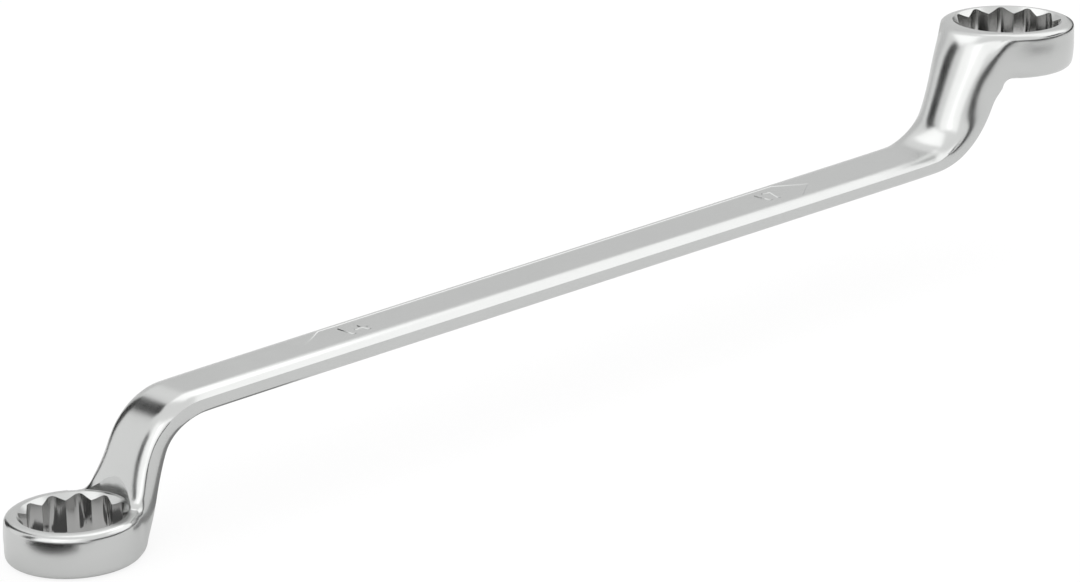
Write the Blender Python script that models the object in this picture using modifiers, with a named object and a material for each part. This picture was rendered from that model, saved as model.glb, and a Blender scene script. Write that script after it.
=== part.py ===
"""A double ended ring spanner with deep cranked necks and twelve point rings.

The real tool is one drop forging. It is modelled whole, as two turned rings and one lofted bar, and
is then parted by flat planes into five named regions that meet face to face.

Frame: +Z runs along the ring axes, +X along the shank from the smaller, lower ring to the larger,
upper one, and the tool is symmetric about the plane Y = 0. The origin is at the middle of the
bounding box's lowest face. Each end is worked out in a frame of its own, with its origin at the
ring's middle, "out" towards the shank and "up" towards the shank's side.
"""

import math
from types import SimpleNamespace

import bmesh
import bpy

MM = 0.001

# Rings
SMALL_SIZE = 14.0 * MM
LARGE_SIZE = 17.0 * MM
FIT_CLEARANCE = 0.1 * MM
SMALL_WALL = 2.16 * MM
LARGE_WALL = 2.38 * MM
SMALL_RING_HEIGHT = 6.9 * MM
LARGE_RING_HEIGHT = 8.5 * MM
UPPER_EDGE_RADIUS = 1.35 * MM
SMALL_LOWER_EDGE_RADIUS = 1.8 * MM
LARGE_LOWER_EDGE_RADIUS = 2.1 * MM
MOUTH_LEAD = 0.1 * MM
RING_POINTS = 12

# Places of the rings, from ring axis to ring axis and from mid height to the shank's middle
CENTRE_DISTANCE = 218.4 * MM
SMALL_OFFSET = 15.8 * MM
LARGE_OFFSET = 16.85 * MM

# Shank
SHANK_THICKNESS = 3.8 * MM
SHANK_SMALL_WIDTH = 10.6 * MM
SHANK_LARGE_WIDTH = 12.5 * MM
SHOULDER_INSET = 0.95 * MM
SHOULDER_DROP = 1.05 * MM

# Necks: the face is the broad flat side towards the ring's hole, the back is the rounded one
SMALL_FACE_SLOPE = math.radians(66.0)
SMALL_BACK_SLOPE = math.radians(69.5)
SMALL_FACE_BEND = 12.0 * MM
SMALL_BACK_BEND = 7.5 * MM
SMALL_FOOT_OVERHANG = 0.2 * MM
SMALL_NECK_DEPTH = 6.2 * MM
SMALL_NECK_WIDTH = 9.9 * MM
SMALL_ROOT_WIDTH = 11.4 * MM
LARGE_FACE_SLOPE = math.radians(61.5)
LARGE_BACK_SLOPE = math.radians(65.0)
LARGE_FACE_BEND = 18.0 * MM
LARGE_BACK_BEND = 8.0 * MM
LARGE_FOOT_OVERHANG = 0.55 * MM
LARGE_NECK_DEPTH = 8.6 * MM
LARGE_NECK_WIDTH = 12.4 * MM
LARGE_ROOT_WIDTH = 15.4 * MM
FACE_SHOULDER_INSET = 1.5 * MM
FACE_SHOULDER_DROP = 0.5 * MM
SMALL_BACK_ROUND_SHARE = 0.5
LARGE_BACK_ROUND_SHARE = 0.45
BACK_FLAT = 1.0 * MM

# Parting planes, clear of the rings and of the bends
ROOT_HEIGHT = 0.6 * MM
NECK_REACH_PAST_BEND = 1.5 * MM

# Overruns of cutters, depths to which joined shapes run into each other, and the reach of a weld
OVERRUN = 1.0 * MM
MOUTH_OVERRUN = 0.3 * MM
BROACH_RUNOUT = 4.0 * MM
FACE_SINK = 1.2 * MM
BACK_LIFT = 0.4 * MM
WELD_REACH = 0.01 * MM

# Facets
ARC_STEPS = 8
NECK_STEPS = 4
CORNER_STEPS = 4
EDGE_STEPS = 5
RING_STEPS = 72
MOUTH_STEPS = 48


def end(**sizes):
    """One end's sizes, with its bore, its rim and its neck's foot worked out from the hexagon."""
    made = SimpleNamespace(**sizes)
    half_size = (made.size + FIT_CLEARANCE) / 2
    made.tip_radius = half_size / math.cos(math.pi / 6)
    made.land_radius = half_size / math.cos(math.pi / RING_POINTS)
    made.mouth_radius = made.tip_radius + MOUTH_LEAD
    made.radius = made.tip_radius + made.wall
    made.face_foot = made.land_radius - made.foot_overhang
    return made


SMALL = end(
    name="small", direction=1, size=SMALL_SIZE, wall=SMALL_WALL, height=SMALL_RING_HEIGHT,
    up_edge=UPPER_EDGE_RADIUS, down_edge=SMALL_LOWER_EDGE_RADIUS, offset=SMALL_OFFSET,
    shank_width=SHANK_SMALL_WIDTH, face_slope=SMALL_FACE_SLOPE, back_slope=SMALL_BACK_SLOPE,
    face_bend=SMALL_FACE_BEND, back_bend=SMALL_BACK_BEND, foot_overhang=SMALL_FOOT_OVERHANG,
    depth=SMALL_NECK_DEPTH, neck_width=SMALL_NECK_WIDTH, root_width=SMALL_ROOT_WIDTH,
    back_round_share=SMALL_BACK_ROUND_SHARE,
)
LARGE = end(
    name="large", direction=-1, size=LARGE_SIZE, wall=LARGE_WALL, height=LARGE_RING_HEIGHT,
    up_edge=LARGE_LOWER_EDGE_RADIUS, down_edge=UPPER_EDGE_RADIUS, offset=LARGE_OFFSET,
    shank_width=SHANK_LARGE_WIDTH, face_slope=LARGE_FACE_SLOPE, back_slope=LARGE_BACK_SLOPE,
    face_bend=LARGE_FACE_BEND, back_bend=LARGE_BACK_BEND, foot_overhang=LARGE_FOOT_OVERHANG,
    depth=LARGE_NECK_DEPTH, neck_width=LARGE_NECK_WIDTH, root_width=LARGE_ROOT_WIDTH,
    back_round_share=LARGE_BACK_ROUND_SHARE,
)
SMALL.x = -(CENTRE_DISTANCE + LARGE.radius - SMALL.radius) / 2
LARGE.x = SMALL.x + CENTRE_DISTANCE
SMALL.z = SMALL_RING_HEIGHT / 2
SHANK_MIDDLE = SMALL.z + SMALL_OFFSET
LARGE.z = SHANK_MIDDLE + LARGE_OFFSET


def clear_scene():
    for item in list(bpy.data.objects):
        bpy.data.objects.remove(item, do_unlink=True)


def new_collection(name):
    collection = bpy.data.collections.new(name)
    bpy.context.scene.collection.children.link(collection)
    return collection


def new_object(name, mesh, collection):
    made = bpy.data.objects.new(name, mesh)
    collection.objects.link(made)
    return made


def satin_chrome(name, tint):
    """Chrome plate over a blasted forging: pale, metallic and softly glossy."""
    material = bpy.data.materials.new(name)
    material.use_nodes = True
    shader = material.node_tree.nodes["Principled BSDF"]
    shader.inputs["Base Color"].default_value = (tint, tint, tint, 1)
    shader.inputs["Metallic"].default_value = 1
    shader.inputs["Roughness"].default_value = 0.28
    return material


def as_guide(item):
    item.hide_render = True
    item.display_type = "WIRE"


def world_point(at, out, side, up):
    """A point given in an end's own frame, in the frame of the tool."""
    return (at.x + at.direction * out, side, at.z + at.direction * up)


# Side view of a neck

def bent_line(start_up, slope, bend, foot_out, foot_up, last_up):
    """Points (out, up) from the shank, round a bend of the radius and down a slope through the foot."""
    corner_out = foot_out + (start_up - foot_up) / math.tan(slope)
    tangent = bend * math.tan(slope / 2)
    points = []
    for step in range(ARC_STEPS + 1):
        turn = slope * step / ARC_STEPS
        points.append((
            corner_out + tangent - bend * math.sin(turn),
            start_up - bend + bend * math.cos(turn),
        ))
    bend_out, bend_up = points[-1]
    last_out = foot_out + (last_up - foot_up) / math.tan(slope)
    for step in range(1, NECK_STEPS + 1):
        share = step / NECK_STEPS
        points.append((bend_out + (last_out - bend_out) * share, bend_up + (last_up - bend_up) * share))
    return points


def neck_lines(at):
    """The face's and the back's side lines of one neck, as pairs of points from the shank to the ring."""
    top = at.height / 2
    face = bent_line(
        at.offset + SHANK_THICKNESS / 2, at.face_slope, at.face_bend, at.face_foot, top, top - FACE_SINK
    )
    back_foot = at.face_foot + at.depth / math.sin((at.face_slope + at.back_slope) / 2)
    low = -top + at.down_edge
    back = bent_line(
        at.offset - SHANK_THICKNESS / 2, at.back_slope, at.back_bend, back_foot, top, low
    )
    # Beside the ring the back rolls in to the far rim, while the face goes straight down in the bore
    hidden_out, hidden_up = face[-1]
    low_out = back[-1][0]
    for step in range(1, CORNER_STEPS + 1):
        turn = math.pi / 2 * step / CORNER_STEPS
        face.append((hidden_out, mix(hidden_up, -top + at.down_edge, step / CORNER_STEPS)))
        back.append((
            low_out - 2 * at.down_edge * (1 - math.cos(turn)),
            low - (at.down_edge - BACK_LIFT) * math.sin(turn),
        ))
    return face, back


def blend(share):
    """A share from 0 to 1 that leaves and arrives gently."""
    return share * share * (3 - 2 * share)


def mix(first, last, share):
    return first + (last - first) * share


def neck_section(at, index, face, back):
    """Half an outline of one section, from the middle of the face to the middle of the back."""
    bend_share = blend(min(index / ARC_STEPS, 1))
    root_share = max(0, min((index - ARC_STEPS) / NECK_STEPS, 1)) ** 2
    half = mix(mix(at.shank_width / 2, at.neck_width / 2, bend_share), at.root_width / 2, root_share)
    face_inset = mix(SHOULDER_INSET, FACE_SHOULDER_INSET, bend_share)
    face_drop = mix(SHOULDER_DROP, FACE_SHOULDER_DROP, bend_share)
    back_flat = mix(half - SHOULDER_INSET, BACK_FLAT / 2, bend_share)
    depth = math.dist(face, back)
    back_round = mix(SHOULDER_DROP, at.back_round_share * depth, bend_share)
    return half_outline(half, face_inset, face_drop, back_flat, back_round, depth)


def half_outline(half, face_inset, face_drop, back_flat, back_round, depth):
    """Points (side, depth under the face) round one half of a section with elliptic corners."""
    points = []
    for step in range(CORNER_STEPS + 1):
        turn = math.pi / 2 * step / CORNER_STEPS
        points.append((
            half - face_inset * (1 - math.sin(turn)),
            face_drop * (1 - math.cos(turn)),
        ))
    for step in range(CORNER_STEPS + 1):
        turn = math.pi / 2 * step / CORNER_STEPS
        points.append((
            back_flat + (half - back_flat) * math.cos(turn),
            depth - back_round * (1 - math.sin(turn)),
        ))
    return points


def section_ring(at, index, face, back):
    """One closed loop in the tool's frame, down the +Y side from the upper edge and up the other."""
    half = neck_section(at, index, face, back)
    depth = math.dist(face, back)
    along = ((back[0] - face[0]) / depth, (back[1] - face[1]) / depth)
    downward = half if at.direction > 0 else half[::-1]
    loop = downward + [(-side, under) for side, under in reversed(downward)]
    return [
        world_point(at, face[0] + along[0] * under, side, face[1] + along[1] * under)
        for side, under in loop
    ]


def neck_rings(at):
    face, back = neck_lines(at)
    return [section_ring(at, index, *pair) for index, pair in enumerate(zip(face, back))]


def build_bar(collection):
    """Both necks and the shank as one lofted body."""
    rings = list(reversed(neck_rings(SMALL))) + neck_rings(LARGE)
    bm = bmesh.new()
    rows = [[bm.verts.new(point) for point in loop] for loop in rings]
    for first, second in zip(rows, rows[1:]):
        for index in range(len(first)):
            after = (index + 1) % len(first)
            bm.faces.new((first[index], first[after], second[after], second[index]))
    bm.faces.new(rows[0])
    bm.faces.new(rows[-1])
    bmesh.ops.recalc_face_normals(bm, faces=bm.faces)
    mesh = bpy.data.meshes.new("bar_blank")
    bm.to_mesh(mesh)
    bm.free()
    return new_object("bar_blank", mesh, collection)


# Rings

def edge_arc(centre_radius, centre_height, edge, start):
    """Points (radius, height) round a quarter turn, from the given direction down the outer side."""
    points = []
    for step in range(EDGE_STEPS + 1):
        turn = start - math.pi / 2 * step / EDGE_STEPS
        points.append((centre_radius + edge * math.cos(turn), centre_height + edge * math.sin(turn)))
    return points


def build_ring(at, collection):
    """A solid disc with rounded rims, turned from a half profile about the ring's axis."""
    top, bottom = at.height / 2, -at.height / 2
    upper, lower = (at.up_edge, at.down_edge) if at.direction > 0 else (at.down_edge, at.up_edge)
    profile = [(0, top)]
    profile += edge_arc(at.radius - upper, top - upper, upper, math.pi / 2)
    profile += edge_arc(at.radius - lower, bottom + lower, lower, 0)
    profile += [(0, bottom)]
    mesh = bpy.data.meshes.new(f"{at.name}_ring_blank")
    edges = [(index, index + 1) for index in range(len(profile) - 1)]
    mesh.from_pydata([(radius, 0, height) for radius, height in profile], edges, [])
    ring = new_object(f"{at.name}_ring_blank", mesh, collection)
    ring.location = (at.x, 0, at.z)
    turn = ring.modifiers.new("turn", "SCREW")
    turn.steps = RING_STEPS
    turn.render_steps = RING_STEPS
    turn.use_merge_vertices = True
    turn.merge_threshold = WELD_REACH
    turn.use_smooth_shade = True
    return ring


def build_bore(at, collection):
    """The broach: a twelve point star as tall as the ring and the run out into the neck's foot."""
    curve = bpy.data.curves.new(f"{at.name}_star", "CURVE")
    curve.dimensions = "2D"
    curve.fill_mode = "BOTH"
    outline = curve.splines.new("POLY")
    corners = 2 * RING_POINTS
    outline.points.add(corners - 1)
    for index in range(corners):
        turn = math.pi * index / RING_POINTS
        radius = at.land_radius if index % 2 == 0 else at.tip_radius
        outline.points[index].co = (radius * math.cos(turn), radius * math.sin(turn), 0, 1)
    outline.use_cyclic_u = True
    height = at.height + OVERRUN + BROACH_RUNOUT
    curve.extrude = height / 2
    drawn = new_object(f"{at.name}_star", curve, collection)
    shift = (BROACH_RUNOUT - OVERRUN) / 2 * at.direction
    drawn.location = (at.x, 0, at.z + shift)
    return meshed(drawn, f"{at.name}_broach", collection)


def meshed(drawn, name, collection):
    """The curve as a closed mesh, in the curve's place."""
    bpy.context.view_layer.update()
    evaluated = drawn.evaluated_get(bpy.context.evaluated_depsgraph_get())
    mesh = bpy.data.meshes.new_from_object(evaluated)
    mesh.name = name
    bm = bmesh.new()
    bm.from_mesh(mesh)
    bmesh.ops.remove_doubles(bm, verts=bm.verts, dist=WELD_REACH)
    bm.to_mesh(mesh)
    bm.free()
    made = new_object(name, mesh, collection)
    made.matrix_world = drawn.matrix_world.copy()
    bpy.data.objects.remove(drawn, do_unlink=True)
    return made


def build_mouth(at, facing, collection):
    """A cone at 45 degrees that leads a nut into the bore, on the upper or the lower face."""
    depth = at.mouth_radius - at.land_radius
    wide, narrow = at.mouth_radius + MOUTH_OVERRUN, at.land_radius - depth
    bm = bmesh.new()
    bmesh.ops.create_cone(
        bm, cap_ends=True, segments=MOUTH_STEPS, radius1=narrow, radius2=wide,
        depth=MOUTH_OVERRUN + 2 * depth,
    )
    mesh = bpy.data.meshes.new(f"{at.name}_mouth")
    bm.to_mesh(mesh)
    bm.free()
    cone = new_object(f"{at.name}_mouth", mesh, collection)
    cone.location = (at.x, 0, at.z + facing * (at.height / 2 + MOUTH_OVERRUN / 2 - depth))
    # Half a facet round from the broach's corners, and turned over for the lower face
    cone.rotation_euler = (0 if facing > 0 else math.pi, 0, math.pi / MOUTH_STEPS)
    return cone


def add_boolean(target, tool, operation):
    modifier = target.modifiers.new(tool.name, "BOOLEAN")
    modifier.operation = operation
    modifier.solver = "EXACT"
    modifier.object = tool


def evaluated_mesh(item):
    bpy.context.view_layer.update()
    evaluated = item.evaluated_get(bpy.context.evaluated_depsgraph_get())
    mesh = bpy.data.meshes.new_from_object(evaluated)
    mesh.transform(item.matrix_world)
    return mesh


def build_forging(guides):
    """The whole tool as one body: the bar joined to both rings, then bored."""
    forging = build_bar(guides)
    forging.name = "forging"
    rings = [build_ring(at, guides) for at in (SMALL, LARGE)]
    for ring in rings:
        add_boolean(forging, ring, "UNION")
    tools = list(rings)
    for at in (SMALL, LARGE):
        broach = build_bore(at, guides)
        mouths = [build_mouth(at, facing, guides) for facing in (1, -1)]
        for mouth in mouths:
            add_boolean(broach, mouth, "UNION")
        add_boolean(forging, broach, "DIFFERENCE")
        tools += [broach] + mouths
    for item in [forging] + tools:
        as_guide(item)
    return forging


# Parting the forging into its named regions

def keep_side(bm, point, direction):
    """Cut away what lies past the plane on the side that the direction points to, and close the cut."""
    cut = bmesh.ops.bisect_plane(
        bm, geom=bm.verts[:] + bm.edges[:] + bm.faces[:], plane_co=point, plane_no=direction,
        clear_outer=True,
    )
    edges = [item for item in cut["geom_cut"] if isinstance(item, bmesh.types.BMEdge)]
    bmesh.ops.edgeloop_fill(bm, edges=edges)


def region(name, forging_mesh, planes, material, collection):
    bm = bmesh.new()
    bm.from_mesh(forging_mesh)
    for point, direction in planes:
        keep_side(bm, point, direction)
    bmesh.ops.triangulate(bm, faces=bm.faces)
    mesh = bpy.data.meshes.new(name)
    bm.to_mesh(mesh)
    bm.free()
    made = new_object(name, mesh, collection)
    mesh.materials.clear()
    mesh.materials.append(material)
    mesh.shade_smooth()
    mesh.set_sharp_from_angle(angle=math.radians(30))
    return made


def neck_end(at):
    """Where the neck passes into the straight shank, in the tool's frame."""
    face, back = neck_lines(at)
    return at.x + at.direction * (max(face[0][0], back[0][0]) + NECK_REACH_PAST_BEND)


def build_regions(forging, collection):
    whole = evaluated_mesh(forging)
    forward, backward, upward, downward = (1, 0, 0), (-1, 0, 0), (0, 0, 1), (0, 0, -1)
    small_root = (0, 0, SMALL.z + SMALL.height / 2 + ROOT_HEIGHT)
    large_root = (0, 0, LARGE.z - LARGE.height / 2 - ROOT_HEIGHT)
    small_neck = (neck_end(SMALL), 0, 0)
    large_neck = (neck_end(LARGE), 0, 0)
    chrome = satin_chrome("satin_chrome", 0.72)
    plan = {
        "small_ring": [(small_neck, forward), (small_root, upward)],
        "small_end_neck": [(small_neck, forward), (small_root, downward)],
        "shank": [(small_neck, backward), (large_neck, forward)],
        "large_end_neck": [(large_neck, backward), (large_root, upward)],
        "large_ring": [(large_neck, backward), (large_root, downward)],
    }
    for name, planes in plan.items():
        region(name, whole, planes, chrome, collection)


def main():
    clear_scene()
    parts = new_collection("ring_spanner")
    guides = new_collection("blanks_and_cutters")
    forging = build_forging(guides)
    build_regions(forging, parts)


main()
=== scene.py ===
# %% [markdown]
# # A deep offset ring spanner in satin chrome
#
# The tool is one drop forging: a flat shank, two necks cranked the opposite way, and a ring at each
# end with a twelve point hole. This notebook models that forging as one smooth skin, gives it its
# satin chrome, and puts it in a plain white studio. It could also be put together from rings, necks
# and a bar, but their joints would show as seams, which a forging doesn't have.

# %% Start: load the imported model
import math
from types import SimpleNamespace

import bmesh
import bpy
from mathutils import Euler, Matrix, Vector


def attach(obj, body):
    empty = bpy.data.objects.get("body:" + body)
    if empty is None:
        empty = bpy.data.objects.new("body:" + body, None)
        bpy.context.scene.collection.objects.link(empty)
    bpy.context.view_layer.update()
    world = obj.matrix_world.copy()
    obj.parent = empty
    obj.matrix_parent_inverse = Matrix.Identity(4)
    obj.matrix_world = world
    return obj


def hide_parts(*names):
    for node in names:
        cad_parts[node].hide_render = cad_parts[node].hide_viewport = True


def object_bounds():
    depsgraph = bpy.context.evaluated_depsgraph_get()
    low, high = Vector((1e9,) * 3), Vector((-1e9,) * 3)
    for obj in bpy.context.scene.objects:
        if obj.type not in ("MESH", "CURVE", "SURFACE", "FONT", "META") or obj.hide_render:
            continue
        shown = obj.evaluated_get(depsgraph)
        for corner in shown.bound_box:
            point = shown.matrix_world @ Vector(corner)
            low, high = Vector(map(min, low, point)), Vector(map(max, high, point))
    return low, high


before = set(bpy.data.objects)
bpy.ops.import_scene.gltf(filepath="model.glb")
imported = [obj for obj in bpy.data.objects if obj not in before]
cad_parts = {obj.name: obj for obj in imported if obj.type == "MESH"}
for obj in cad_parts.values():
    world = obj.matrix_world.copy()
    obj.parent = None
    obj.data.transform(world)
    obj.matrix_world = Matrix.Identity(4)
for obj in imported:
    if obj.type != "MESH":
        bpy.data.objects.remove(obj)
cad_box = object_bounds()
MM = 0.001
print("nodes:", sorted(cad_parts))
print("box in mm:", [[round(value / MM, 2) for value in corner] for corner in cad_box])


# %% [markdown]
# ## Measures
#
# A forging is drawn from each ring outwards. Every end therefore gets a frame of its own, with its
# origin in the middle of the ring, `out` towards the shank and `up` towards the side on which the
# shank lies. The larger end is the smaller one turned half round about the Y axis, so one set of
# functions makes both. The rings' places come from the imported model's box: the smaller ring touches
# its -X end and its floor, and the larger one its +X end and its top.

# %% Measures of both ends
HOLE_CLEARANCE = 0.1 * MM


def end(**sizes):
    """One end's sizes in metres, with the radii of its hole worked out from the nut's size."""
    made = SimpleNamespace(**sizes)
    half_nut = (made.nut + HOLE_CLEARANCE) / 2
    made.tip = half_nut / math.cos(math.pi / 6)
    made.land = half_nut / math.cos(math.pi / 12)
    return made


SMALL = end(
    name="small", direction=1, nut=14 * MM, radius=10.3 * MM, height=6.9 * MM,
    near_edge=1.35 * MM, far_edge=1.8 * MM, shank_half=5.3 * MM, offset=15.8 * MM,
    face_slope=math.radians(66), back_slope=math.radians(69.5), face_bend=12 * MM,
    back_bend=7.5 * MM, face_foot=7.1 * MM, depth=6.2 * MM, neck_half=4.95 * MM,
    root_half=6.5 * MM, root_angle=math.radians(41),
    bulge=1.5 * MM, face_rise=1.4 * MM, back_rise=0.8 * MM,
)
LARGE = end(
    name="large", direction=-1, nut=17 * MM, radius=12.25 * MM, height=8.5 * MM,
    near_edge=2.1 * MM, far_edge=1.85 * MM, shank_half=6.25 * MM, offset=16.85 * MM,
    face_slope=math.radians(61.5), back_slope=math.radians(65), face_bend=18 * MM,
    back_bend=8 * MM, face_foot=8.3 * MM, depth=8.6 * MM, neck_half=6.2 * MM,
    root_half=7.7 * MM, root_angle=math.radians(39),
    bulge=1.6 * MM, face_rise=1.6 * MM, back_rise=0.9 * MM,
)
low_corner, high_corner = (Vector(corner) for corner in cad_box)
SMALL.x, SMALL.z = low_corner.x + SMALL.radius, low_corner.z + SMALL.height / 2
LARGE.x, LARGE.z = high_corner.x - LARGE.radius, high_corner.z - LARGE.height / 2
SHANK_HALF_THICKNESS = 1.9 * MM
SHANK_Z = SMALL.z + SMALL.offset
for at in (SMALL, LARGE):
    print(at.name, "ring at", round(at.x / MM, 2), round(at.z / MM, 2), "mm, tips at", round(at.tip / MM, 2))


# %% [markdown]
# ## The rings' cage
#
# Each ring starts as a disc, because the real one is forged solid and broached later. A circle is
# extruded again and again, and every new loop is moved to its radius and height, which gives a
# coarse cage that a subdivision surface rounds. A half profile turned about the ring's axis would
# do for the disc alone, but a cage made loop by loop can also be drawn out towards the neck.
#
# A rounding of radius r has three loops: one 1.1 r before the corner, one a little inside the
# corner, and one 1.1 r after it. The far rim's has a fourth, on the wall's side. The surface pulls
# every loop inwards a little, so the cage is drawn larger by about the share that a circle of that
# many corners loses.

# %% Ring cage: columns
COLUMNS = 48
ROOT_COLUMNS = 4
CIRCLE_GAIN = 6 / (4 + 2 * math.cos(2 * math.pi / COLUMNS))


def mix(first, last, share):
    return first + (last - first) * share


def column_angle(at, column):
    """The neck takes the middle nine columns, which lie a little further apart than the others."""
    if abs(column) <= ROOT_COLUMNS:
        return at.root_angle * column / ROOT_COLUMNS
    beyond = (abs(column) - ROOT_COLUMNS) / (COLUMNS / 2 - ROOT_COLUMNS)
    return math.copysign(mix(at.root_angle, math.pi, beyond), column)


print("columns beside the smaller neck:",
      [round(math.degrees(column_angle(SMALL, column)), 1) for column in range(3, 7)], "degrees")


# %% Ring cage: rows
# The flats' two inner loops, as shares of the hole's radius; the broach cuts them away later
PLUG_SHARE, PLUG_MIDDLE = 0.93, 0.6
WALL_CROWN = 0.12 * MM
ROUND_START, ROUND_CORNER = 1.1, 0.165
FAR_ROUND_IN, FAR_ROUND_UP = 0.03, 0.55


def ring_rows(at):
    """Radius and height of each loop, over the near rim, down the wall and round the far rim."""
    top, bottom, near, far = at.height / 2, -at.height / 2, at.near_edge, at.far_edge
    inner = at.land * PLUG_SHARE
    return [
        (inner * PLUG_MIDDLE, top),
        (inner, top),
        (at.radius - ROUND_START * near, top),
        (at.radius - ROUND_CORNER * near, top - ROUND_CORNER * near),
        (at.radius - WALL_CROWN, top - ROUND_START * near),
        (at.radius, (top - near + bottom + far) / 2),
        (at.radius - WALL_CROWN, bottom + ROUND_START * far),
        (at.radius - FAR_ROUND_IN * far, bottom + FAR_ROUND_UP * far),
        (at.radius - ROUND_CORNER * far, bottom + ROUND_CORNER * far),
        (at.radius - ROUND_START * far, bottom),
        (inner, bottom),
        (inner * PLUG_MIDDLE, bottom),
    ]


print("rows of the smaller ring in mm:",
      [(round(radius / MM, 1), round(up / MM, 1)) for radius, up in ring_rows(SMALL)])


# %% Ring cage: one corner's place
# The rows that the neck's face and its back join, and how far each row swells out to meet the back
FOOT_ROW, BACK_ROW = 1, 8
BULGE_SHARES = {6: 0.5, 7: 0.9, 8: 1.0, 9: 0.75}
BULGE_COLUMNS = ROOT_COLUMNS + 2
FOOT_IN = 1.3 * MM


def ring_point(at, row, column):
    """A corner of the cage as (out, side, up), with the wall drawn out where the neck joins it."""
    radius, up = ring_rows(at)[row]
    if row == FOOT_ROW and abs(column) <= ROOT_COLUMNS:
        return Vector((at.face_foot, (at.neck_half - FOOT_IN) * column / ROOT_COLUMNS, up))
    nearness = math.cos(math.pi / 2 * min(abs(column) / BULGE_COLUMNS, 1))
    radius = radius * CIRCLE_GAIN + BULGE_SHARES.get(row, 0) * at.bulge * nearness ** 2
    angle = column_angle(at, column)
    return Vector((radius * math.cos(angle), radius * math.sin(angle), up))


def to_tool(at, point):
    """From an end's own frame to the frame of the whole tool."""
    out, side, up = point
    return Vector((at.x + at.direction * out, side, at.z + at.direction * up))


print("the smaller neck's foot in mm:", [round(value / MM, 1) for value in ring_point(SMALL, FOOT_ROW, 0)])


# %% [markdown]
# ## Growing a loop
#
# The whole forging is made with one move: take a closed loop of corners, extrude its edges, and put
# each new corner in its place. Bridging two loops would do the same, but the operator picks the
# pairs itself. The helper here looks up which new corner grew from which old one, so the order never
# slips.

# %% Grow a loop
def corners_in(made):
    """The corners among what a bmesh operator returns."""
    return [item for item in made["geom"] if isinstance(item, bmesh.types.BMVert)]


def grow(bm, loop, places):
    """Extrude a closed loop and move each new corner to its place."""
    edges = [bm.edges.get(pair) for pair in zip(loop, loop[1:] + loop[:1])]
    fresh = set(corners_in(bmesh.ops.extrude_edge_only(bm, edges=edges)))
    following = []
    for corner, place in zip(loop, places):
        ends = [edge.other_vert(corner) for edge in corner.link_edges]
        grown = next(other for other in ends if other in fresh)
        grown.co = place
        following.append(grown)
    return following


trial = bmesh.new()
square = [trial.verts.new(place) for place in ((0, 0, 0), (1, 0, 0), (1, 1, 0), (0, 1, 0))]
for pair in zip(square, square[1:] + square[:1]):
    trial.edges.new(pair)
grow(trial, square, [corner.co + Vector((0, 0, 1)) for corner in square])
print("a square grown once has", len(trial.faces), "walls")
trial.free()


# %% Ring cage: extrude it row by row
def in_order(corners):
    """The corners of a circle about the origin, one after the other."""
    return sorted(corners, key=lambda corner: math.atan2(corner.co.y, corner.co.x))


def add_ring(bm, at):
    """The disc's cage, as a table of corners by row and column."""
    columns = list(range(1 - COLUMNS // 2, 1 + COLUMNS // 2))
    circle = bmesh.ops.create_circle(bm, segments=COLUMNS, radius=at.radius, cap_ends=True)
    row = in_order(circle["verts"])
    for corner, column in zip(row, columns):
        corner.co = to_tool(at, ring_point(at, 0, column))
    table = [dict(zip(columns, row))]
    for index in range(1, len(ring_rows(at))):
        row = grow(bm, row, [to_tool(at, ring_point(at, index, column)) for column in columns])
        table.append(dict(zip(columns, row)))
    bm.faces.new(row)
    return table


def open_root(bm, table):
    """Take out the faces that the neck covers, and return the rim of the opening in order."""
    hidden = [
        table[row][column] for row in range(FOOT_ROW + 1, BACK_ROW)
        for column in range(1 - ROOT_COLUMNS, ROOT_COLUMNS)
    ]
    bmesh.ops.delete(bm, geom=hidden, context="VERTS")
    across = range(-ROOT_COLUMNS, ROOT_COLUMNS + 1)
    down = range(FOOT_ROW + 1, BACK_ROW)
    rim = [table[FOOT_ROW][column] for column in across]
    rim += [table[row][ROOT_COLUMNS] for row in down]
    rim += [table[BACK_ROW][column] for column in reversed(across)]
    rim += [table[row][-ROOT_COLUMNS] for row in reversed(down)]
    return rim


trial = bmesh.new()
opening = open_root(trial, add_ring(trial, SMALL))
print("cage of one ring:", len(trial.verts), "corners,", len(opening), "of them round the opening")
trial.free()


# %% [markdown]
# ## Necks and shank
#
# Seen from the side, a neck is two lines: the broad face that looks at the hole, and the rounded
# back. Each bends out of the shank on an arc and then runs straight to the ring. Pairs of points on
# the two lines carry the sections. A neck's section has a flat face with soft shoulders, and flanks
# that roll into a round back. The shank's is flat on both sides, with a narrow ground band down
# each edge. A curve with a bevel could sweep one section along the tool, but here it changes all
# the way, so every section is placed by itself, and in a bend the two outlines are mixed.

# %% Side lines of a neck
BEND_STEPS, SLOPE_STEPS = 7, 3


def bent_line(start_up, slope, bend, foot_out, foot_up, last_up):
    """Points (out, up) from the shank round the bend and straight down the slope."""
    corner_out = foot_out + (start_up - foot_up) / math.tan(slope)
    tangent = bend * math.tan(slope / 2)
    points = []
    for step in range(BEND_STEPS + 1):
        turn = slope * step / BEND_STEPS
        points.append(Vector((
            corner_out + tangent - bend * math.sin(turn), start_up - bend + bend * math.cos(turn),
        )))
    last = Vector((foot_out + (last_up - foot_up) / math.tan(slope), last_up))
    bend_end = points[-1]
    return points + [bend_end.lerp(last, step / SLOPE_STEPS) for step in range(1, SLOPE_STEPS + 1)]


def neck_lines(at):
    """The face's line and the back's line, each from the shank to the ring."""
    top = at.height / 2
    face = bent_line(
        at.offset + SHANK_HALF_THICKNESS, at.face_slope, at.face_bend, at.face_foot, top,
        top + at.face_rise,
    )
    back_foot = at.face_foot + at.depth / math.sin((at.face_slope + at.back_slope) / 2)
    back = bent_line(
        at.offset - SHANK_HALF_THICKNESS, at.back_slope, at.back_bend, back_foot, top,
        -top + at.far_edge + at.back_rise,
    )
    return face, back


for at in (SMALL, LARGE):
    print(at.name, "face and back start at", [round(line[0].x / MM, 1) for line in neck_lines(at)], "mm")


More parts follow.
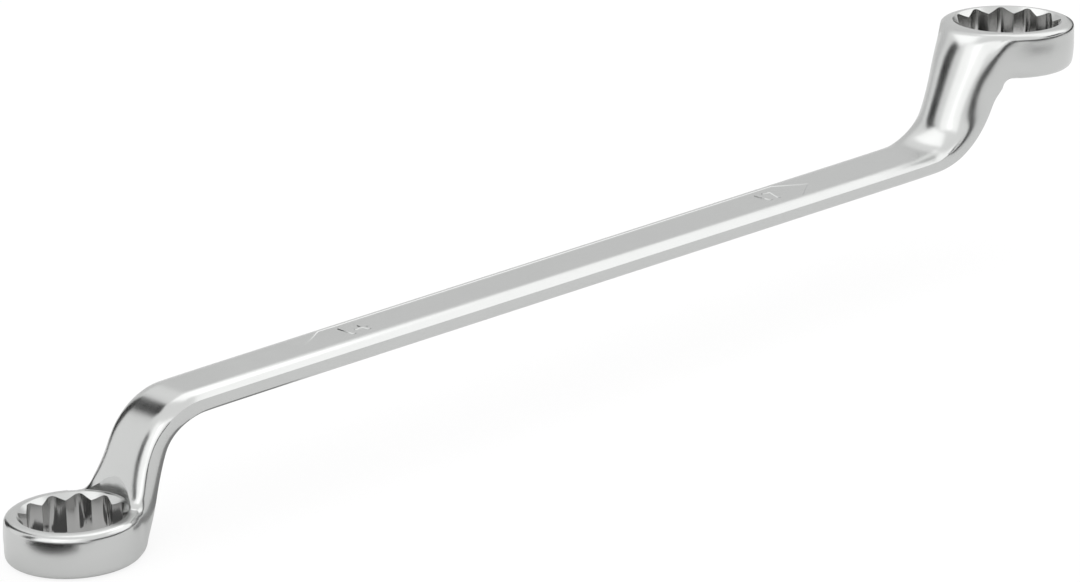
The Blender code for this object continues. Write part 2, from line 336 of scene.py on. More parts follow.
# %% Outlines of a section
SHOULDER_IN, SHOULDER_DOWN = 2.05 * MM, 1.15 * MM
FACE_IN, FACE_DOWN = 1.9 * MM, 0.8 * MM
SHOULDER_MIDDLE = 0.36
BAND_SHARES = (1 / 3, 2 / 3)
# Down a neck's flank, closer together where it rolls into the back
NECK_SHARES = (0.18, 0.36, 0.54, 0.68, 0.80, 0.89, 0.95, 0.985, 1)
BACK_FULLNESS = 3.4


def upper_outline(half, inset, drop):
    """The flat and its shoulder, as (side, depth) from the middle of the flat."""
    flat = [((half - inset) * step / ROOT_COLUMNS, 0) for step in range(ROOT_COLUMNS + 1)]
    return flat + [(half - SHOULDER_MIDDLE * inset, SHOULDER_MIDDLE * drop), (half, drop)]


def bar_outline(half, depth):
    """Half a section of the shank: flat, shoulder, band, shoulder, flat."""
    upper = upper_outline(half, SHOULDER_IN, SHOULDER_DOWN)
    lower = [(side, depth - under) for side, under in reversed(upper)]
    band = [(half, mix(SHOULDER_DOWN, depth - SHOULDER_DOWN, share)) for share in BAND_SHARES]
    return upper + band + lower


def neck_outline(half, depth):
    """Half a section of a neck: flat face, soft shoulder, and a flank that rolls into the back."""
    upper = upper_outline(half, FACE_IN, FACE_DOWN)
    flank = [
        (half * (1 - share ** BACK_FULLNESS) ** 0.5, mix(FACE_DOWN, depth, share))
        for share in NECK_SHARES
    ]
    return upper + flank


print("corners in half a section:", len(bar_outline(1, 4)), len(neck_outline(1, 4)))


# %% Sections along an end
# Above 1, a neck widens late, close to its ring
ROOT_FLARE = 1.5


def blend(share):
    """A share from 0 to 1 that leaves and arrives gently."""
    share = min(max(share, 0), 1)
    return share * share * (3 - 2 * share)


def section(at, index, face, back):
    """A whole section as (out, side, up), in the order of the opening's rim."""
    depth = (back - face).length
    along = (back - face) / depth
    bend_share = blend(index / BEND_STEPS)
    root_share = blend((index - BEND_STEPS) / (SLOPE_STEPS + 1)) ** ROOT_FLARE
    half = mix(mix(at.shank_half, at.neck_half, bend_share), at.root_half, root_share)
    outline = [
        (mix(bar[0], neck[0], bend_share), mix(bar[1], neck[1], bend_share))
        for bar, neck in zip(bar_outline(half, depth), neck_outline(half, depth))
    ]
    face_half, back_half = outline[:ROOT_COLUMNS + 1], outline[-ROOT_COLUMNS - 1:]
    flank = outline[ROOT_COLUMNS + 1:-ROOT_COLUMNS - 1]
    loop = [(-side, under) for side, under in reversed(face_half[1:])] + face_half + flank
    loop += back_half + [(-side, under) for side, under in reversed(back_half[:-1])]
    loop += [(-side, under) for side, under in reversed(flank)]
    return [(face.x + along.x * under, side, face.y + along.y * under) for side, under in loop]


def end_sections(at):
    """All sections of one end in the tool's frame, from the ring to the shank."""
    pairs = list(enumerate(zip(*neck_lines(at))))
    return [[to_tool(at, point) for point in section(at, index, *pair)] for index, pair in reversed(pairs)]


print("corners in a section:", len(end_sections(SMALL)[0]))


# %% [markdown]
# ## One skin
#
# The cage grows out of the opening in the smaller ring, through its neck, along the shank and the
# other neck, and is welded to the opening of the larger ring. That end is turned half round, so its
# sections are read backwards. Joining separate bodies with a Boolean would be quicker to write, but
# a cage that is one from the start stays smooth where they meet.
#
# A subdivision surface also rounds the ground bands away. A crease along an edge holds it back, so
# the bands stay crisp on the shank. On a neck only the edges of its broad face are held, and less.

# %% Creases of the ground bands
# Places round a section's loop where the band begins under the upper flat and ends at the lower one
UPPER_LINES, LOWER_LINES = (10, 28), (13, 25)
SHANK_CREASE, NECK_CREASE = 0.75, 0.35
NECK_SECTIONS = SLOPE_STEPS + 4


def crease_band(bm, loop, following, on_small, on_large):
    """Crease the edges between two loops that bound the band or a neck's broad face."""
    crease = bm.edges.layers.float["crease_edge"]
    lines = (() if on_large else UPPER_LINES) + (() if on_small else LOWER_LINES)
    for line in lines:
        edge = bm.edges.get((loop[line], following[line]))
        edge[crease] = NECK_CREASE if on_small or on_large else SHANK_CREASE


print("sections with the softer crease on each neck:", NECK_SECTIONS)


# %% Build the cage
SHANK_STEPS = 6


def turned(loop):
    """The larger end's order of corners, read as the smaller end's."""
    backwards = list(reversed(loop))
    flank = BACK_ROW - FOOT_ROW - 1
    return backwards[flank:] + backwards[:flank]


def build_cage():
    bm = bmesh.new()
    bm.edges.layers.float.new("crease_edge")
    small_rim = open_root(bm, add_ring(bm, SMALL))
    large_rim = turned(open_root(bm, add_ring(bm, LARGE)))
    small_sections = end_sections(SMALL)
    large_sections = [turned(loop) for loop in reversed(end_sections(LARGE))]
    pairs = list(zip(small_sections[-1], large_sections[0]))
    between = [
        [start.lerp(stop, step / SHANK_STEPS) for start, stop in pairs] for step in range(1, SHANK_STEPS)
    ]
    loop = small_rim
    all_places = small_sections + between + large_sections
    for index, places in enumerate(all_places):
        following = grow(bm, loop, places)
        on_small, on_large = index < NECK_SECTIONS, index >= len(all_places) - NECK_SECTIONS
        if index > 0:
            crease_band(bm, loop, following, on_small, on_large)
        loop = following
    loop = grow(bm, loop, [corner.co.copy() for corner in large_rim])
    bmesh.ops.weld_verts(bm, targetmap=dict(zip(loop, large_rim)))
    bmesh.ops.recalc_face_normals(bm, faces=bm.faces)
    return bm


cage = build_cage()
print("cage:", len(cage.verts), "corners,", len(cage.faces), "faces, open edges:",
      sum(not edge.is_manifold for edge in cage.edges))


# %% Smooth it
def new_object(name, bm):
    """An object at the origin that takes over a bmesh."""
    mesh = bpy.data.meshes.new(name)
    bm.to_mesh(mesh)
    bm.free()
    made = bpy.data.objects.new(name, mesh)
    bpy.context.scene.collection.objects.link(made)
    return made


def settle(target):
    """Take the modifiers' result as the object's own mesh."""
    bpy.context.view_layer.update()
    finished = bpy.data.meshes.new_from_object(target.evaluated_get(bpy.context.evaluated_depsgraph_get()))
    finished.name = target.name
    target.modifiers.clear()
    target.data = finished
    return finished


forging = new_object("forging", cage)
skin = forging.modifiers.new("skin", "SUBSURF")
skin.levels = skin.render_levels = 2
print("faces of the smooth forging:", len(settle(forging).polygons))


# %% [markdown]
# ## Filled roots
#
# A sharp ridge in a die would soon crack, and would fold the metal that flows past it. So it is
# rounded, and the valley that it leaves between a ring's wall and its neck is filled. A bevel would
# need one clear edge to follow, and here the valley fades out. The corners near it are smoothed
# instead, first over a wide reach and then over narrower ones, which fills most at the valley's
# bottom. Corners on the flat faces are left alone.

# %% Fill the roots
ROOT_REACHES = (4.8 * MM, 3.8 * MM, 2.8 * MM, 1.8 * MM)
ROOT_PASSES = 8
ABOVE_RIM, FAR_EDGE_KEPT = 1.2 * MM, 0.7
# A corner counts as flat if its normal is more upright than this, above and below the ring's middle
UPRIGHT_ABOVE, UPRIGHT_BELOW = 0.9, 0.6


def root_corners(bm, at, side, reach):
    """Corners near the valley between a ring's wall and its neck, apart from those on flat faces."""
    valley = Vector((math.cos(at.root_angle), side * math.sin(at.root_angle))) * at.radius
    lowest = -at.height / 2 + FAR_EDGE_KEPT * at.far_edge
    highest = at.height / 2 + ABOVE_RIM
    found = []
    for corner in bm.verts:
        out, up = (corner.co.x - at.x) * at.direction, (corner.co.z - at.z) * at.direction
        flat = abs(corner.normal.z) >= (UPRIGHT_ABOVE if up > 0 else UPRIGHT_BELOW)
        near = (Vector((out, corner.co.y)) - valley).length < reach
        if lowest < up < highest and near and not flat:
            found.append(corner)
    return found


bm = bmesh.new()
bm.from_mesh(forging.data)
for at in (SMALL, LARGE):
    for side in (1, -1):
        for reach in ROOT_REACHES:
            bm.normal_update()
            valley_corners = root_corners(bm, at, side, reach)
            for _ in range(ROOT_PASSES):
                bmesh.ops.smooth_vert(
                    bm, verts=valley_corners, factor=0.5, use_axis_x=True, use_axis_y=True, use_axis_z=True
                )
bm.to_mesh(forging.data)
bm.free()
print("roots filled, the narrowest reach of the last valley had", len(valley_corners), "corners")


# %% [markdown]
# ## Twelve point holes
#
# The real hole is pushed out by a broach, after the rim of the blank has been countersunk so that
# the nut finds its way in. The same tools cut it here: a star shaped prism, and a 45 degree cone
# from each side. A short cylinder also clears the neck's foot where it leans over the hole. Each is
# subtracted with a Boolean and then thrown away. The star could also be built into the cage, but
# its crisp edges would need creases all round, and a cut gives them at once.

# %% Broach
TIP_RELIEF, TIP_ROUND = 0.18 * MM, 0.8 * MM
CUT_BELOW, CUT_ABOVE = 1 * MM, 0.5 * MM


def raise_face(bm, face, height):
    """Extrude a face straight up into a closed prism, and return its upper corners."""
    upper = corners_in(bmesh.ops.extrude_face_region(bm, geom=[face], use_keep_orig=True))
    bmesh.ops.translate(bm, verts=upper, vec=(0, 0, height))
    return upper


def broach(at):
    """A prism with twelve points: a circle with every second corner drawn in, and rounded tips."""
    bm = bmesh.new()
    radius = at.tip + TIP_RELIEF
    points = bmesh.ops.create_circle(bm, segments=24, radius=radius, cap_ends=True)["verts"]
    for corner in points:
        if round(math.degrees(math.atan2(corner.co.y, corner.co.x))) % 30 == 0:
            corner.co *= at.land / radius
    bmesh.ops.translate(bm, verts=points, vec=(0, 0, -at.height / 2 - CUT_BELOW))
    raise_face(bm, points[0].link_faces[0], at.height + CUT_BELOW + CUT_ABOVE)
    tips = [
        edge for edge in bm.edges
        if abs((edge.verts[0].co - edge.verts[1].co).z) > at.height and edge.verts[0].co.xy.length > at.tip
    ]
    bmesh.ops.bevel(
        bm, geom=tips, offset=TIP_ROUND, offset_type="OFFSET", affect="EDGES", segments=5, profile=0.5,
        material=-1,
    )
    return bm


trial = broach(SMALL)
print("the smaller broach has", len(trial.faces), "faces")
trial.free()


# %% Spot facer and countersink
CUTTER_SIDES = 144
FACER_EXTRA, FACER_DEPTH, FACER_LIFT = 0.3 * MM, 4 * MM, 0.02 * MM
MOUTH_EXTRA, CONE_EXTRA = 0.1 * MM, 0.3 * MM


def turn_over(bm):
    """Half a turn about the X axis, for the other side."""
    bmesh.ops.rotate(bm, verts=bm.verts, matrix=Matrix.Rotation(math.pi, 3, "X"), cent=(0, 0, 0))


def spot_facer(at):
    """A cylinder that clears the neck's foot where it overhangs the hole."""
    bm = bmesh.new()
    radius = at.tip + FACER_EXTRA
    bmesh.ops.create_cone(
        bm, cap_ends=True, segments=CUTTER_SIDES, radius1=radius, radius2=radius, depth=FACER_DEPTH
    )
    middle = at.height / 2 + FACER_LIFT + FACER_DEPTH / 2
    bmesh.ops.translate(bm, verts=bm.verts, vec=(0, 0, middle))
    return bm


def countersink(at, facing):
    """A cone a little wider than the tips at the rim and a little narrower than the lands inside."""
    bm = bmesh.new()
    mouth = at.tip + MOUTH_EXTRA
    drop = mouth - at.land + CONE_EXTRA
    bmesh.ops.create_cone(
        bm, cap_ends=True, segments=CUTTER_SIDES, radius1=mouth - drop, radius2=mouth + CONE_EXTRA,
        depth=drop + CONE_EXTRA,
    )
    # A small turn keeps the cone's corners off the star's
    bmesh.ops.rotate(bm, verts=bm.verts, matrix=Matrix.Rotation(math.radians(0.9), 3, "Z"), cent=(0, 0, 0))
    bmesh.ops.translate(bm, verts=bm.verts, vec=(0, 0, (at.height + CONE_EXTRA - drop) / 2))
    if facing < 0:
        turn_over(bm)
    return bm


trial = countersink(SMALL, 1)
cone_end = min(corner.co.z for corner in trial.verts)
print("the smaller countersink ends", round(cone_end / MM, 2), "mm above the middle of the ring")
trial.free()


# %% Cut the holes
def cut(target, bm):
    """Subtract a closed bmesh, which is used up, and keep only the result."""
    bmesh.ops.recalc_face_normals(bm, faces=bm.faces)
    if bm.calc_volume(signed=True) < 0:
        bmesh.ops.reverse_faces(bm, faces=bm.faces)
    cutter = new_object("cutter", bm)
    modifier = target.modifiers.new("cut", "BOOLEAN")
    modifier.operation, modifier.solver, modifier.object = "DIFFERENCE", "EXACT", cutter
    finished = settle(target)
    bpy.data.objects.remove(cutter, do_unlink=True)
    print(target.name, "now has", len(finished.polygons), "faces")


def stand_in_ring(bm, at):
    """Move a cutter from an end's own frame to the frame of the whole tool."""
    half_turn = Matrix.Diagonal((at.direction, 1, at.direction, 1))
    bm.transform(Matrix.Translation((at.x, 0, at.z)) @ half_turn)


for at in (SMALL, LARGE):
    for cutter_mesh in (broach(at), spot_facer(at), countersink(at, 1), countersink(at, -1)):
        stand_in_ring(cutter_mesh, at)
        cut(forging, cutter_mesh)


# %% [markdown]
# ## Size panels
#
# The die leaves a shallow panel with pointed ends on both flats of the shank, and the two nut sizes
# stand up in it. An inset of the flat's own faces would follow the cage's columns, not the panel's
# outline, so the panel is cut with a thin plate. Its walls slope, as a die's must, or the forging
# would stick in it.

# %% Cut the panels
PANEL_START, PANEL_END = -64 * MM, 53 * MM
PANEL_POINT, PANEL_MARGIN, PANEL_DEPTH = 5.5 * MM, 2.35 * MM, 0.12 * MM
WALL_SPREAD = (1.007, 1.07, 1)


def shank_half(x):
    """Half the shank's width at a place along it."""
    return mix(SMALL.shank_half, LARGE.shank_half, (x - SMALL.x) / (LARGE.x - SMALL.x))


def panel(facing):
    """A plate in the panel's outline, wider above the flat than at the panel's floor."""
    bm = bmesh.new()
    corners = [(PANEL_START, 0)]
    for x in (PANEL_START + PANEL_POINT, PANEL_END - PANEL_POINT):
        corners.append((x, shank_half(x) - PANEL_MARGIN))
    corners.append((PANEL_END, 0))
    corners += [(x, -side) for x, side in reversed(corners[1:-1])]
    floor_face = bm.faces.new([bm.verts.new((x, side, -PANEL_DEPTH)) for x, side in corners])
    upper = raise_face(bm, floor_face, 2 * PANEL_DEPTH)
    middle = Vector(((PANEL_START + PANEL_END) / 2, 0, 0))
    bmesh.ops.scale(bm, verts=upper, vec=WALL_SPREAD, space=Matrix.Translation(-middle))
    if facing < 0:
        turn_over(bm)
    bmesh.ops.translate(bm, verts=bm.verts, vec=(0, 0, SHANK_Z + facing * SHANK_HALF_THICKNESS))
    return bm


for facing in (1, -1):
    cut(forging, panel(facing))


# %% [markdown]
# ## Size numbers
#
# Plain numbers tell the two ends apart. On the real tool they stand up from the die's engraving.
# Each is a flat text, given a little thickness and a bevel, made a mesh, and set on the panel's
# floor. It stays a piece of its own, because joining it to the forging would add only thin faces.

# %% Numbers
NUMBER_SIZE, NUMBER_INSET = 5.2 * MM, 10 * MM
NUMBER_THICKNESS, NUMBER_BEVEL = 0.05 * MM, 0.06 * MM


def add_number(label, x, facing):
    """A number on the upper or the lower panel, as a mesh with its place in it."""
    curve = bpy.data.curves.new("number", "FONT")
    curve.body, curve.size, curve.align_x, curve.align_y = label, NUMBER_SIZE, "CENTER", "CENTER"
    curve.extrude, curve.bevel_depth, curve.bevel_resolution = NUMBER_THICKNESS, NUMBER_BEVEL, 1
    drawn = bpy.data.objects.new("number", curve)
    bpy.context.scene.collection.objects.link(drawn)
    bpy.context.view_layer.update()
    mesh = bpy.data.meshes.new_from_object(drawn.evaluated_get(bpy.context.evaluated_depsgraph_get()))
    bpy.data.objects.remove(drawn, do_unlink=True)
    bm = bmesh.new()
    bm.from_mesh(mesh)
    bmesh.ops.remove_doubles(bm, verts=bm.verts, dist=0.001 * MM)
    if facing < 0:
        turn_over(bm)
    height = SHANK_Z + facing * (SHANK_HALF_THICKNESS - PANEL_DEPTH)
    bmesh.ops.translate(bm, verts=bm.verts, vec=(x, 0, height))
    side = "upper" if facing > 0 else "lower"
    return new_object(f"size_number_{label}_{side}", bm)


number_places = ((SMALL, PANEL_START + NUMBER_INSET), (LARGE, PANEL_END - NUMBER_INSET))
numbers = [
    add_number(f"{at.nut / MM:.0f}", x, facing) for at, x in number_places for facing in (1, -1)
]
print("numbers:", [item.name for item in numbers])


# %% [markdown]
# ## Shading
#
# The skin is shaded smooth, so its facets don't show. The edges of the holes and of the panels turn
# by more than the rest of it, and are kept sharp.

# %% Shade it
SHARP_ANGLE = math.radians(32)
forging.data.shade_smooth()
forging.data.set_sharp_from_angle(angle=SHARP_ANGLE)
print("faces shaded smooth:", sum(face.use_smooth for face in forging.data.polygons))


# %% [markdown]
# ## Satin chrome
#
# Chrome plate on steel that was blasted with fine grit. Chromium reflects a little over half of the
# light, almost without tint, and the blasting spreads each reflection softly. The grit leaves a
# grain of about 0.1 mm, drawn at 0.22 mm so that it shows. Broad, faint clouds in the roughness keep
# the reflections from looking machine even. The shank is ground along its length before it is
# plated, and its faint lines are drawn 0.9 mm wide, again so that they show. They fade out at the
# necks, where the grinding wheel doesn't reach.

# %% Colour and node helpers
def from_hex(code):
    """An sRGB hex colour as linear red, green, blue and alpha."""
    parts = [int(code[index:index + 2], 16) / 255 for index in (1, 3, 5)]
    linear = [part / 12.92 if part <= 0.04045 else ((part + 0.055) / 1.055) ** 2.4 for part in parts]
    return (*linear, 1)


def add_node(tree, kind, links=None, **settings):
    """One node with its settings; a setting of an input's name sets that socket."""
    node = tree.nodes.new(kind)
    for name, value in settings.items():
        if hasattr(node, name):
            setattr(node, name, value)
        else:
            node.inputs[name.replace("_", " ")].default_value = value
    for name, source in (links or {}).items():
        tree.links.new(source, node.inputs[name])
    return node


def empty_material(name):
    """A new material and its node tree, with nothing in it."""
    material = bpy.data.materials.new(name)
    material.use_nodes = True
    material.node_tree.nodes.clear()
    return material, material.node_tree


print("middle grey is", [round(value, 3) for value in from_hex("#808080")], "in linear light")


# %% Satin chrome
CHROME_COLOUR = "#cfd0cf"
GRAIN_SIZE, CLOUD_SIZE = MM / 4.5, 6.25 * MM
LINE_WIDTH, LINE_STRETCH = MM / 1.1, 0.008
GROUND_TO, PLAIN_FROM = 62 * MM, 84 * MM
BUMP_HEIGHT = 0.02 * MM


def satin_chrome():
    """A soft, even grey shine with a fine grain, and lengthwise lines on the shank."""
    material, tree = empty_material("satin_chrome_on_blasted_steel")
    coordinates = add_node(tree, "ShaderNodeTexCoord").outputs["Object"]
    cloud = add_node(
        tree, "ShaderNodeTexNoise", {"Vector": coordinates}, Scale=1 / CLOUD_SIZE, Detail=4, Roughness=0.55
    )
    # Noise lies mostly between 0.3 and 0.7
    rough = add_node(
        tree, "ShaderNodeMapRange", {"Value": cloud.outputs["Fac"]}, From_Min=0.3, From_Max=0.7,
        To_Min=0.19, To_Max=0.25,
    )
    grain = add_node(
        tree, "ShaderNodeTexNoise", {"Vector": coordinates}, Scale=1 / GRAIN_SIZE, Detail=3, Roughness=0.6
    )
    grain_bump = add_node(
        tree, "ShaderNodeBump", {"Height": grain.outputs["Fac"]}, Strength=0.12, Distance=BUMP_HEIGHT
    )
    lengthwise = add_node(tree, "ShaderNodeVectorMath", {0: coordinates}, operation="MULTIPLY")
    lengthwise.inputs[1].default_value = (LINE_STRETCH, 1, 1)
    lines = add_node(
        tree, "ShaderNodeTexNoise", {"Vector": lengthwise.outputs["Vector"]}, Scale=1 / LINE_WIDTH,
        Detail=2, Roughness=0.5,
    )
    axes = add_node(tree, "ShaderNodeSeparateXYZ", {"Vector": coordinates})
    from_middle = add_node(tree, "ShaderNodeMath", {0: axes.outputs["X"]}, operation="ABSOLUTE")
    on_shank = add_node(
        tree, "ShaderNodeMapRange", {"Value": from_middle.outputs[0]}, From_Min=GROUND_TO,
        From_Max=PLAIN_FROM, To_Min=0.55, To_Max=0.0,
    )
    line_links = {
        "Height": lines.outputs["Fac"], "Strength": on_shank.outputs["Result"],
        "Normal": grain_bump.outputs["Normal"],
    }
    bump = add_node(tree, "ShaderNodeBump", line_links, Distance=BUMP_HEIGHT)
    shader = add_node(
        tree, "ShaderNodeBsdfPrincipled",
        {"Roughness": rough.outputs["Result"], "Normal": bump.outputs["Normal"]},
        Base_Color=from_hex(CHROME_COLOUR), Metallic=1,
    )
    add_node(tree, "ShaderNodeOutputMaterial", {"Surface": shader.outputs["BSDF"]})
    return material


chrome = satin_chrome()
print(chrome.name, "has", len(chrome.node_tree.nodes), "nodes")


# %% [markdown]
# ## Broached holes
#
# The blasting hardly gets into the holes, so their walls keep what the broach left: a smoother
# chrome with upright scratches. To the eye they are brighter and darker in crisp bands. A scratch is
# a few hundredths of a millimetre wide, and is drawn at 0.26 mm so that it shows. The finish is a
# second material, laid on the upright faces in the holes.

# %% Broached hole
# The broached finish is real, but the walls' colour is a shade darker than the chrome outside: painted shade
# for the dimmer light inside the holes
HOLE_COLOUR_WITH_PAINTED_SHADE = "#c6c6c5"
SCRATCH_WIDTH, SCRATCH_STRETCH = MM / 3.8, 0.03


def broached_chrome():
    """A smooth, bright wall with upright scratches, which the blasting doesn't reach, in a colour a little
    darker than the chrome outside as painted shade.
    """
    material, tree = empty_material("chrome_on_broached_steel_darkened_as_shade")
    coordinates = add_node(tree, "ShaderNodeTexCoord").outputs["Object"]
    upright = add_node(tree, "ShaderNodeVectorMath", {0: coordinates}, operation="MULTIPLY")
    upright.inputs[1].default_value = (1, 1, SCRATCH_STRETCH)
    scratches = add_node(
        tree, "ShaderNodeTexNoise", {"Vector": upright.outputs["Vector"]}, Scale=1 / SCRATCH_WIDTH,
        Detail=2, Roughness=0.6,
    )
    bump = add_node(
        tree, "ShaderNodeBump", {"Height": scratches.outputs["Fac"]}, Strength=0.25, Distance=BUMP_HEIGHT
    )
    shader = add_node(
        tree, "ShaderNodeBsdfPrincipled", {"Normal": bump.outputs["Normal"]},
        Base_Color=from_hex(HOLE_COLOUR_WITH_PAINTED_SHADE), Metallic=1, Roughness=0.13,
    )
    add_node(tree, "ShaderNodeOutputMaterial", {"Surface": shader.outputs["BSDF"]})
    return material


broached = broached_chrome()
print(broached.name, "has", len(broached.node_tree.nodes), "nodes")


# %% Lay the finishes on
UPRIGHT_WALL = 0.3
WALL_REACH = 0.25 * MM


def in_hole(face):
    """Whether a face is an upright wall of one of the holes."""
    if abs(face.normal.z) > UPRIGHT_WALL:
        return False
    from_axes = [(face.center.xy - Vector((at.x, 0))).length - at.tip for at in (SMALL, LARGE)]
    return min(from_axes) < WALL_REACH


for item in [forging] + numbers:
    item.data.materials.clear()
    item.data.materials.append(chrome)
    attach(item, "root")
forging.data.materials.append(broached)
for face in forging.data.polygons:
    face.material_index = 1 if in_hole(face) else 0
print("faces in the holes:", sum(face.material_index for face in forging.data.polygons))
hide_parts("small_ring", "small_end_neck", "shank", "large_end_neck", "large_ring")


# %% [markdown]
# ## Camera
#
# The picture is a close product shot with a long lens, from the left, a little above. Its middle is
# a point a little beyond the middle of the shank. The numbers come from fitting the camera to the
# tool's outline in the picture.

# %% Camera
AIM = Vector((-3.32, 9.82, 12.89)) * MM
HEADING, ELEVATION, ROLL = math.radians(-44.957), math.radians(18.117), math.radians(-0.776)
DISTANCE = 623.28 * MM
FOCAL_LENGTH, SENSOR_WIDTH = 124.83, 36
lens = bpy.data.cameras.new("camera")
lens.sensor_width = SENSOR_WIDTH
lens.lens = FOCAL_LENGTH
lens.clip_start = 0.01
camera = bpy.data.objects.new("camera", lens)
bpy.context.scene.collection.objects.link(camera)
turn = Euler((math.pi / 2 - ELEVATION, 0, HEADING)).to_matrix() @ Matrix.Rotation(ROLL, 3, "Z")
camera.matrix_world = Matrix.Translation(AIM + turn @ Vector((0, 0, DISTANCE))) @ turn.to_4x4()
bpy.context.scene.camera = camera
print("camera stands at", [round(value, 3) for value in camera.matrix_world.translation])


# %% [markdown]
# ## Studio
#
# A white floor and white surroundings, as in a light tent. The floor is real paper that takes the
# tool's shadow, but more light on it would also brighten the tool. So most of its brightness in the
# picture is an even glow that only the camera sees, over paper that is darker there. What the metal
# mirrors is paler paper with a weak glow.

# %% World and floor
PAPER_SEEN, PAPER_MIRRORED = "#6a6a6a", "#c8c8c8"
GLOW_SEEN, GLOW_MIRRORED = 0.85, 0.2
FLOOR_HALF = 6


def white_world():
    world = bpy.data.worlds.new("white_tent")
    bpy.context.scene.world = world
    world.use_nodes = True
    tree = world.node_tree
    tree.nodes.clear()
    glow = add_node(tree, "ShaderNodeBackground", Strength=1, Color=(1, 1, 1, 1))
    add_node(tree, "ShaderNodeOutputWorld", {"Surface": glow.outputs["Background"]})


def floor_paper():
    """Matt white paper: no shine, with its glow added where a ray from the camera or metal meets it."""
    material, tree = empty_material("matt_white_paper")
    path = add_node(tree, "ShaderNodeLightPath")
    mirrored = add_node(
        tree, "ShaderNodeMath", {0: path.outputs["Is Glossy Ray"], 1: path.outputs["Is Transmission Ray"]},
        operation="ADD", use_clamp=True,
    )
    # Inputs 6 and 7 of a colour Mix are its two colours, and output 2 is its result
    tone = add_node(
        tree, "ShaderNodeMix", {"Factor": path.outputs["Is Camera Ray"]}, data_type="RGBA",
    )
    tone.inputs[6].default_value = from_hex(PAPER_MIRRORED)
    tone.inputs[7].default_value = from_hex(PAPER_SEEN)
    glow_seen = add_node(
        tree, "ShaderNodeMapRange", {"Value": path.outputs["Is Camera Ray"]}, To_Min=0.0, To_Max=GLOW_SEEN
    )
    strength = add_node(
        tree, "ShaderNodeMath", {0: mirrored.outputs[0], 2: glow_seen.outputs["Result"]},
        operation="MULTIPLY_ADD",
    )
    strength.inputs[1].default_value = GLOW_MIRRORED
    glow = add_node(tree, "ShaderNodeEmission", {"Strength": strength.outputs[0]}, Color=(1, 1, 1, 1))
    paper = add_node(tree, "ShaderNodeBsdfDiffuse", {"Color": tone.outputs[2]})
    both = add_node(tree, "ShaderNodeAddShader", {0: glow.outputs[0], 1: paper.outputs[0]})
    add_node(tree, "ShaderNodeOutputMaterial", {"Surface": both.outputs[0]})
    return material


def white_floor():
    bm = bmesh.new()
    bmesh.ops.create_grid(bm, x_segments=1, y_segments=1, size=FLOOR_HALF)
    bmesh.ops.translate(bm, verts=bm.verts, vec=(0, 0, cad_box[0][2]))
    floor = new_object("floor", bm)
    floor.data.materials.append(floor_paper())


white_world()
white_floor()
print("floor at", round(cad_box[0][2] / MM, 2), "mm")


# %% [markdown]
# ## Lamps and cards
#
# Even satin chrome mirrors its surroundings, so its light and dark bands are made as a photographer
# makes them: soft lamps for the bright ones, and black or grey cards for the dark ones. The metal
# alone sees the cards. They don't show in the picture, throw no shadow and take no part in the light
# on the floor.

# %% Lamps
def direction(heading, elevation):
    """A unit vector from angles in degrees, with the heading anticlockwise from +X."""
    around, over = math.radians(heading), math.radians(elevation)
    return Vector((math.cos(around) * math.cos(over), math.sin(around) * math.cos(over), math.sin(over)))


def add_softbox(name, heading, elevation, distance, width, height, radiance, aim=(0, 0, SHANK_Z)):
    """A rectangular lamp that faces a point; a mirror shows its radiance on top of what is behind."""
    lamp = bpy.data.lights.new(name, "AREA")
    lamp.shape, lamp.size, lamp.size_y = "RECTANGLE", width, height
    lamp.energy = radiance * math.pi * width * height
    item = bpy.data.objects.new(name, lamp)
    bpy.context.scene.collection.objects.link(item)
    toward = direction(heading, elevation)
    item.location = toward * distance + Vector(aim)
    item.rotation_euler = toward.to_track_quat("Z", "Y").to_euler()
    item.visible_camera = False
    print(name, "at", [round(value, 2) for value in item.location], "m gives", round(lamp.energy, 3), "W")


# Two broad ones on the camera's side, one at the right, and a small one above the larger neck's bend
for number, heading in enumerate((182, 216), 1):
    add_softbox(
        f"camera_side_softbox_{number}", heading, elevation=36, distance=1.2, width=0.8, height=1.1,
        radiance=0.47,
    )
add_softbox("right_softbox", heading=-10, elevation=40, distance=1.2, width=1.7, height=1.0, radiance=0.45)
add_softbox(
    "bend_softbox", heading=108, elevation=63, distance=0.25, width=0.2, height=0.14, radiance=0.6,
    aim=(84 * MM, 0, SHANK_Z),
)


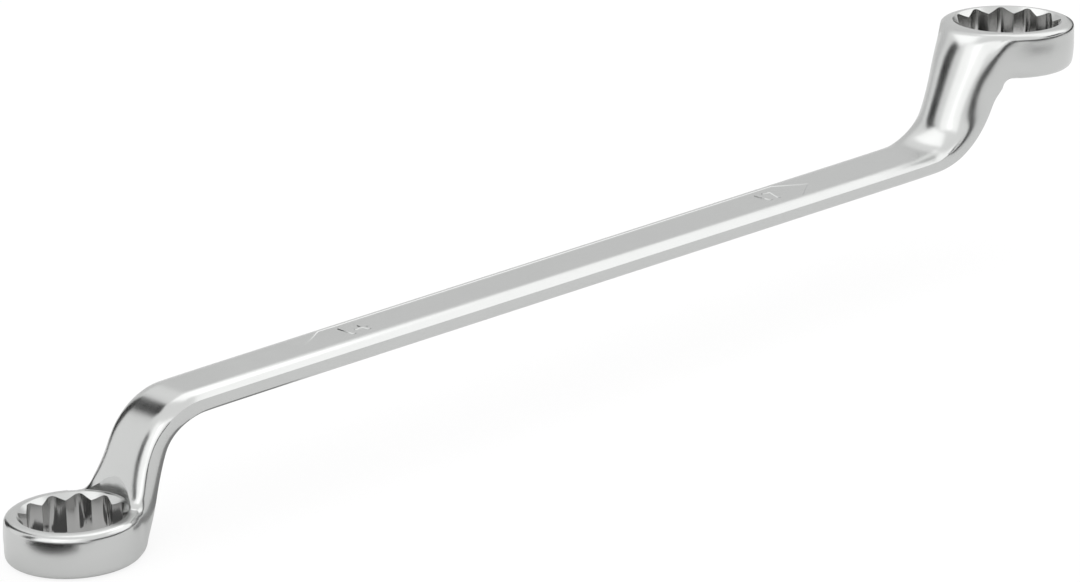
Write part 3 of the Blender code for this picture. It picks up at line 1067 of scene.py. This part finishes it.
# %% Dark and grey cards
def add_card(name, corner, along, up, code):
    """A card from a corner, with its two sides as vectors in mm; only the metal sees it."""
    bm = bmesh.new()
    # A grid of half size 0.5 is a unit square, which the matrix stretches along the two sides
    bmesh.ops.create_grid(bm, x_segments=1, y_segments=1, size=0.5)
    sides = Matrix((Vector(along), Vector(up), Vector((0, 0, 1)))).transposed().to_4x4()
    middle = Vector(corner) + (Vector(along) + Vector(up)) / 2
    bm.transform(Matrix.Scale(MM, 4) @ Matrix.Translation(middle) @ sides)
    card = new_object(name, bm)
    material, tree = empty_material(name)
    glow = add_node(tree, "ShaderNodeEmission", Color=from_hex(code), Strength=1)
    add_node(tree, "ShaderNodeOutputMaterial", {"Surface": glow.outputs[0]})
    card.data.materials.append(material)
    card.visible_camera = card.visible_shadow = card.visible_diffuse = False


# Upright, to the left and beyond, for the dark lines down the necks
add_card("large_neck_flag", (-146, 185, 5), (95, 80, 0), (0, 0, 290), "#242424")
add_card("small_neck_flag", (-244, 36, 25), (20, 44, 0), (8, 14, 125), "#303030")
# Low and long, in front and at the right, for the dark bands on the sides
add_card("low_flag", (-150, -150, 13), (560, 0, 0), (0, 0, 40), "#242424")
add_card("right_low_flag", (410, -150, 0.5), (0, 330, 0), (0, 0, 90), "#181818")
# Close to the floor round the smaller ring and under its neck, for their dark undersides
add_card("ring_flag", (-118, -83, 0.5), (-48, 111, 0), (-56, -23, 14), "#101010")
add_card("near_ring_flag", (-125, -27, 0.3), (-13.7, 37.6, 0), (-100, -36, 4), "#101010")
# Painted shadow: floor_shade is a grey sheet that stands in for the tool's shadow on the floor under the
# smaller neck, which the neck's back and the ring's wall mirror
add_card("floor_shade", (-88, -14, 0.3), (34, 0, 0), (0, 60, 0), "#909090")
# Above and before the larger ring, for the dark streak on its rim
add_card("rim_flag", (136, -96, 64), (56, 44, 0), (0, 0, 38), "#080808")
# Under the holes, for the dark bands on their walls: painted shade, dark sheets that stand in for the shade
# inside and below the holes, which the walls mirror
add_card("small_hole_painted_shade", (-113.7, -3.5, 0.2), (7.5, 7.5, 0), (-4, 4, 0), "#545454")
add_card("large_hole_painted_shade", (101.2, -7, 31), (14, 14, 0), (-7, 7, 0), "#1c1c1c")
# Far behind, for a slightly grey flat
add_card("grey_back_card", (-100, 1000, 40), (1100, -1100, 0), (0, 0, 400), "#dedede")


# %% [markdown]
# ## Look and finish
#
# The Standard view shows a colour about as it is written.

# %% Look and finish
bpy.context.scene.view_settings.view_transform = "Standard"
